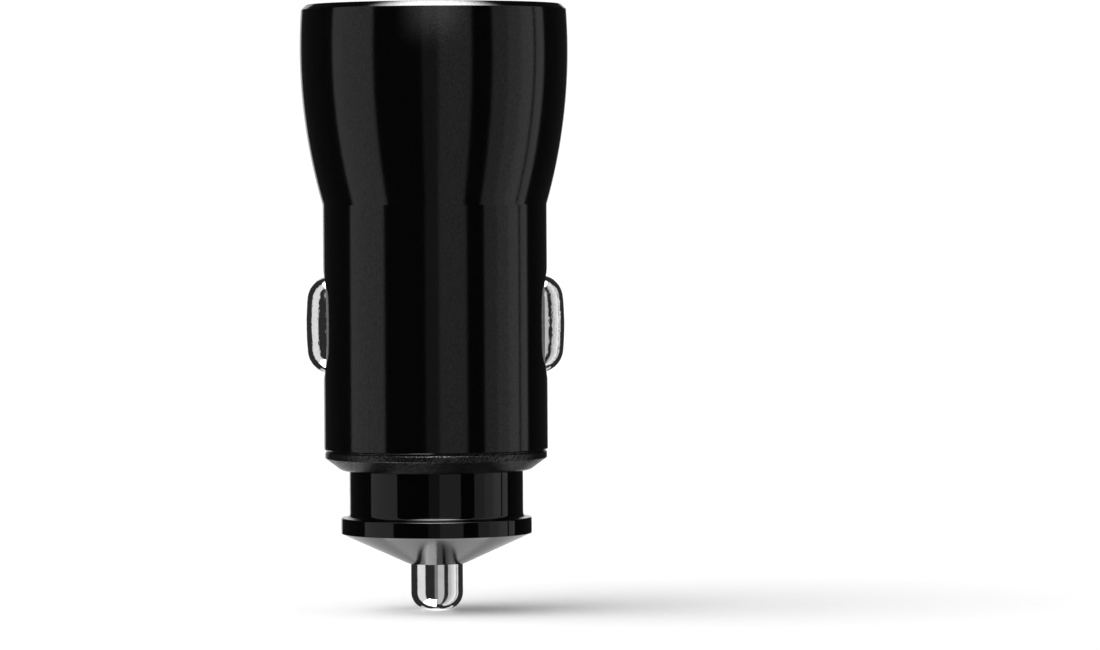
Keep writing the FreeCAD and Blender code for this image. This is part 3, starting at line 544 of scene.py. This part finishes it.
# Springs: a coil behind the tip and a bowed leaf behind each side contact, each built in one shape only; the real
# ones are pressed flatter as the contacts go in.
# The coil is drawn steel wire, the leaves phosphor bronze strip.
COIL_WIRE_R = 0.25
COIL_R = 2.82
COIL_TURNS = 5
TURN_STEPS = 40
WIRE_SIDES = 12
TERMINAL_FACE_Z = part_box("tip_terminal")[0].z / MM
LEAF_HALF_WIDTH = 1.1
LEAF_SHEET = 0.25
LEAF_HALF_SPAN = 3.2
LEAF_CROWN_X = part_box("contact_leaf_right")[1].x / MM
STRAP_FACE_X = 6.37


def coil_spring():
    """Round wire on a helix: the wire's circle, angle b, is carried round Z by angle a while it climbs evenly."""
    a = np.linspace(0, 2 * math.pi * COIL_TURNS, TURN_STEPS * COIL_TURNS + 1)[:, None]
    b = np.linspace(0, 2 * math.pi, WIRE_SIDES, endpoint=False)[None]
    low, high = COLLAR_TOP_Z + COIL_WIRE_R, TERMINAL_FACE_Z - COIL_WIRE_R
    r = COIL_R + COIL_WIRE_R * np.cos(b)
    z = low + (high - low) * a / a.max() + COIL_WIRE_R * np.sin(b)
    points = np.stack([r * np.cos(a), r * np.sin(a), z], -1)
    ends = np.concatenate([points[:1].mean(1, keepdims=True).repeat(WIRE_SIDES, 1), points,
                           points[-1:].mean(1, keepdims=True).repeat(WIRE_SIDES, 1)])
    return ends.reshape(-1, 3), grid_faces(len(ends), WIRE_SIDES, True)


def leaf_spring():
    """Strip bent to an arc: its mid line is the circle through both feet and the crown, its section a thin box."""
    rise = LEAF_CROWN_X - STRAP_FACE_X
    radius = (rise ** 2 + LEAF_HALF_SPAN ** 2) / (2 * rise)
    reach = math.atan2(LEAF_HALF_SPAN, radius - rise)
    a = np.linspace(-reach, reach, 41)[:, None]
    edge_r = np.array([radius, radius, radius - LEAF_SHEET, radius - LEAF_SHEET])[None]
    edge_y = np.array([-1, 1, 1, -1])[None] * LEAF_HALF_WIDTH
    x = np.maximum(LEAF_CROWN_X - radius + edge_r * np.cos(a), STRAP_FACE_X)
    z = SLOT_Z + edge_r * np.sin(a)
    points = np.stack([x, np.broadcast_to(edge_y, x.shape), z], -1)
    ends = np.concatenate([points[:1].mean(1, keepdims=True).repeat(4, 1), points,
                           points[-1:].mean(1, keepdims=True).repeat(4, 1)])
    return ends.reshape(-1, 3), grid_faces(len(ends), 4, True)


# Drawn spring wire: bright steel, its grey mottled every 0.4 mm or so by the drawing, with a soft sheen.
wire_steel = mottled("drawn_spring_steel", {"Metallic": 1.0, "Roughness": 0.3}, grain_mm=0.4, detail=2.0,
                     tones=("#8d8d8f", "#b4b4b6"))[0]

# Rolled phosphor bronze and brass strip: reddish yellow, with a slightly uneven tarnish a millimetre or two across.
bronze = mottled("rolled_contact_bronze", {"Metallic": 1.0, "Roughness": 0.28}, grain_mm=1.5, detail=3.0,
                 tones=("#b58a4c", "#d9b070"))[0]

coil = build_piece("tip_coil", [coil_spring()])
coil.data.materials.append(wire_steel)
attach(coil, "housing")
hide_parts("tip_spring")
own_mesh(coil)

for side, turn in (("right", 1), ("left", -1)):
    points, faces = leaf_spring()
    leaf = build_piece("leaf_" + side, [(points * np.array([turn, turn, 1]), faces)])
    leaf.data.materials.append(bronze)
    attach(leaf, "housing")
    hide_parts("contact_leaf_" + side)
    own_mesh(leaf)


# Face plate: a moulded disc pressed into the rim, with an opening for each USB receptacle. ABS from a tool etched
# with a grain of about 0.15 mm, so it is satin and dark grey beside the shell's gloss.
satin, tree, shader, etch = mottled("satin_black_abs", {"IOR": 1.53, "Roughness": 0.5, "Specular IOR Level": 0.15},
                                    grain_mm=0.15, detail=3.0, tones=("#101011", "#1c1c1e"))
relief = add_node(tree, "Bump", {"Height": etch, "Strength": 0.25, "Distance": 0.03 * MM})
tree.links.new(relief.outputs["Normal"], shader.inputs["Normal"])


def finish_nodes(finish, *names):
    """Gives CAD nodes that keep their own shape a finish of this file."""
    for name in names:
        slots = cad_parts[name].data.materials
        slots.clear()
        slots.append(finish)


finish_nodes(satin, "face_plate")


# USB receptacles: steel strip folded into a tube and tin plated, a moulded tongue inside, and four stamped strips.
# The tin is a soft grey metal, its gloss slightly uneven over about 0.8 mm.
tinned, tree, shader, rolling = mottled("tin_plated_steel", {"Metallic": 1.0}, grain_mm=0.8, detail=4.0,
                                        tones=("#b3b3b2", "#bfbfbd"))
gloss = add_node(tree, "MapRange", {"Value": rolling, "To Min": 0.32, "To Max": 0.38})
tree.links.new(gloss.outputs["Result"], shader.inputs["Roughness"])
finish_nodes(tinned, "usb_shell_front", "usb_shell_rear", "buck_chip_leads", "charge_chip_leads")

# Glass-filled nylon tongue: dull black, clouded where the fibres come to the surface, about half a millimetre apart.
nylon = mottled("moulded_black_nylon", {"IOR": 1.53, "Roughness": 0.55, "Specular IOR Level": 0.3}, grain_mm=0.5,
                detail=4.0, tones=("#0d0d0e", "#1f1f21"))[0]
finish_nodes(nylon, "usb_tongue_front", "usb_tongue_rear")
finish_nodes(bronze, "usb_contacts_front", "usb_contacts_rear", "tip_terminal", "ground_strap_left",
             "ground_strap_right")


# Board and its components: glass-epoxy laminate, moulded epoxy bodies, ferrite and drawn aluminium cans, soldered on.
# Green solder mask over the laminate: half gloss, its green clouded by the weave about 0.6 mm apart.
laminate = mottled("green_mask_laminate", {"IOR": 1.5, "Roughness": 0.3}, grain_mm=0.6, detail=2.0,
                   tones=("#0f4a22", "#1a6a34"))[0]
finish_nodes(laminate, "main_board")

# Moulded epoxy: dull charcoal, speckled by its mineral filler of about 0.1 mm.
epoxy = mottled("moulded_black_epoxy", {"IOR": 1.55, "Roughness": 0.5}, grain_mm=0.1, detail=3.0,
                tones=("#17171a", "#29292c"))[0]
finish_nodes(epoxy, "buck_chip", "charge_chip", "rectifier_diode", "input_fuse", "chip_resistors")

# Pressed ferrite: dark grey ceramic, dull, with pores about 0.25 mm apart.
ferrite = mottled("pressed_ferrite", {"IOR": 1.6, "Roughness": 0.6}, grain_mm=0.25, detail=4.0,
                  tones=("#2c2c2f", "#46464a"))[0]
finish_nodes(ferrite, "power_inductor")

# Drawn aluminium: pale and softly metallic, its gloss broken every 0.3 mm or so by the drawing.
can, tree, shader, drawing = mottled("drawn_aluminium_can", {"Metallic": 1.0}, grain_mm=0.3, detail=2.0,
                                     tones=("#bcbdbf", "#d2d3d5"))
gloss = add_node(tree, "MapRange", {"Value": drawing, "To Min": 0.25, "To Max": 0.4})
tree.links.new(gloss.outputs["Result"], shader.inputs["Roughness"])
finish_nodes(can, "input_capacitor", "output_capacitor")


# Studio: a white paper sweep that the tip touches, strip lights round the object and a white wall behind it. The
# lights are panels that only reflections see; suns and the air light the floor.
FLOOR_Z = TIP_LOW_Z
FLOOR_R = 6000.0
PANEL_R = 450.0
PANEL_END = 1500.0
KEY_ANGLE = 50
KEY_ENERGY = 0.25
KEY_DROP = 0.9


def stage_piece(name, points, faces, finish):
    """A part of the studio that blocks no light."""
    mesh = bpy.data.meshes.new(name)
    mesh.from_pydata(np.asarray(points) * MM, [], faces.tolist())
    mesh.materials.append(finish)
    made = bpy.data.objects.new(name, mesh)
    bpy.context.scene.collection.objects.link(made)
    made.visible_shadow = False
    return made


# White paper: matt, without any gleam, its white wavering a very little with the fibres.
paper = mottled("white_paper_sweep", {"Roughness": 0.9, "Specular IOR Level": 0.0}, grain_mm=2.0, detail=2.0,
                tones=("#f6f6f6", "#f9f9f9"))[0]
sweep_points, sweep_faces = turned(np.array([[FLOOR_R, FLOOR_Z], [0.01, FLOOR_Z]]))
floor = stage_piece("floor", sweep_points, sweep_faces, paper)
floor.visible_glossy = False


def light_panel(name, points, strength, fades=()):
    """Light-emitting grid (rows, columns, xyz) that only reflections see and that hides nothing behind it. Each fade
    (axis, dark, full) brings the light in smoothly along the size of one coordinate, in mm."""
    finish = bpy.data.materials.new(name)
    finish.use_nodes = True
    tree = finish.node_tree
    tree.nodes.clear()
    place = add_node(tree, "SeparateXYZ", {"Vector": add_node(tree, "TexCoord", {}).outputs["Object"]})
    level = strength
    for axis, dark, full in fades:
        size = add_node(tree, "Math", {0: place.outputs[axis]}, operation="ABSOLUTE")
        rise = add_node(tree, "MapRange", {"Value": size.outputs["Value"], "From Min": dark * MM,
                                           "From Max": full * MM}, interpolation_type="SMOOTHSTEP")
        level = add_node(tree, "Math", {0: rise.outputs["Result"], 1: level}, operation="MULTIPLY").outputs["Value"]
    light = add_node(tree, "Emission", {"Strength": level})
    clear = add_node(tree, "BsdfTransparent", {})
    both = add_node(tree, "AddShader", {0: light.outputs["Emission"], 1: clear.outputs["BSDF"]})
    add_node(tree, "OutputMaterial", {"Surface": both.outputs["Shader"]})
    panel = stage_piece(name, points.reshape(-1, 3), grid_faces(*points.shape[:2], False), finish)
    panel.visible_camera = False
    panel.visible_diffuse = False


def strip_light(name, start, end, strength, low_z=-PANEL_END, high_z=PANEL_END, fades=()):
    """Strip light on a cylinder round the object, from start to end degrees right of the camera's direction."""
    a = np.radians(np.linspace(start, end, 25))[None]
    z = np.array([low_z, high_z])[:, None]
    points = np.stack(np.broadcast_arrays(PANEL_R * np.sin(a), -PANEL_R * np.cos(a), z), -1)
    light_panel(name, points, strength, fades)


def flat_light(name, x_ends, y_ends, z, strength, fades=()):
    """Level light between two x and two y ends at one height."""
    x, y = np.meshgrid(x_ends, y_ends)
    light_panel(name, np.stack([x, y, np.full_like(x, z)], -1).astype(float), strength, fades)


for name, start, end, strength in (
        ("left_strip", -96, -53, 0.9),
        ("middle_strip_edge", -10, 4, 0.22),
        ("middle_strip", 4, 32, 0.6),
        ("right_strip_near", 51, 66, 0.58),
        ("right_strip_middle", 66, 80, 0.82),
        ("right_strip_far", 80, 94.5, 1.05),
        ("right_strip_edge", 97, 108, 0.85),
        ("back_wall", 167, 200, 0.8)):
    strip_light(name, start, end, strength)
strip_light("front_top_softbox", -40, 40, 1.3, low_z=15.0, high_z=300.0, fades=[("Z", 20, 90), ("X", 260, 20)])
flat_light("overhead_softbox", (-330, 330), (-420, 0), z=500.0, strength=36.0, fades=[("X", 330, 50)])
flat_light("overhead_softbox_rear", (-330, 330), (0, 130), z=500.0, strength=36.0,
           fades=[("X", 330, 50), ("Y", 130, 0)])
flat_light("low_front_softbox", (-420, -15), (-480, 30), z=-450.0, strength=3.4)
flat_light("low_back_sweep", (-220, 220), (200, 430), z=-350.0, strength=0.75)

# A fan of soft suns from the upper left lights the floor and leaves the object's soft shadow on the right.
key_ways = [(across, lean) for across in (0.5, 0.9, 1.5) for lean in np.linspace(-0.3, 0.9, 4)]
for number, (across, lean) in enumerate(key_ways):
    key = bpy.data.objects.new(f"key_light_{number}", bpy.data.lights.new(f"key_light_{number}", "SUN"))
    key.data.angle = math.radians(KEY_ANGLE)
    key.data.energy = KEY_ENERGY
    key.rotation_euler = Vector((across, lean, -KEY_DROP)).to_track_quat("-Z", "Y").to_euler()
    key.visible_glossy = False
    bpy.context.scene.collection.objects.link(key)

# The air is white to the camera, almost dark in reflections, where the strips show, and dim for soft light.
world = bpy.data.worlds.new("studio_air")
bpy.context.scene.world = world
world.use_nodes = True
tree = world.node_tree
tree.nodes.clear()
ray = add_node(tree, "LightPath", {})
seen = add_node(tree, "Background", {"Color": (1, 1, 1, 1), "Strength": 1.05})
mirrored = add_node(tree, "Background", {"Color": (1, 1, 1, 1), "Strength": 0.03})
soft = add_node(tree, "Background", {"Color": (1, 1, 1, 1), "Strength": 0.55})
unseen = add_node(tree, "MixShader", {"Fac": ray.outputs["Is Glossy Ray"], 1: soft.outputs["Background"],
                                     2: mirrored.outputs["Background"]})
either = add_node(tree, "MixShader", {"Fac": ray.outputs["Is Camera Ray"], 1: unseen.outputs["Shader"],
                                     2: seen.outputs["Background"]})
add_node(tree, "OutputWorld", {"Surface": either.outputs["Shader"]})


# Camera: a long lens level with the head's lower end, as the plug's turned edges show, rolled by the axis's lean.
IMAGE_WIDTH = 1100
IMAGE_HEIGHT = 650
MM_PER_PIXEL = PLUG_R / 112.0
DISTANCE_PIXELS = 5600
AXIS_COLUMN = 435.4
SEATING_ROW = 203.9
HORIZON_ROW = 185
ROLL_DEGREES = -0.325
SENSOR_WIDTH = 36.0
camera = bpy.data.objects.new("camera", bpy.data.cameras.new("camera"))
bpy.context.scene.collection.objects.link(camera)
bpy.context.scene.camera = camera
camera.data.sensor_width = SENSOR_WIDTH
camera.data.lens = SENSOR_WIDTH * DISTANCE_PIXELS / IMAGE_WIDTH
camera.data.clip_start = 0.01
camera.data.clip_end = 50.0
eye = Vector((0, -DISTANCE_PIXELS, SEATING_ROW - HORIZON_ROW)) * MM_PER_PIXEL * MM
aim = Vector((IMAGE_WIDTH / 2 - AXIS_COLUMN, 0, SEATING_ROW - IMAGE_HEIGHT / 2)) * MM_PER_PIXEL * MM
level = (aim - eye).to_track_quat("-Z", "Y").to_matrix().to_4x4()
camera.matrix_world = Matrix.Translation(eye) @ level @ Matrix.Rotation(math.radians(ROLL_DEGREES), 4, "Z")
bpy.context.scene.view_settings.view_transform = "Standard"
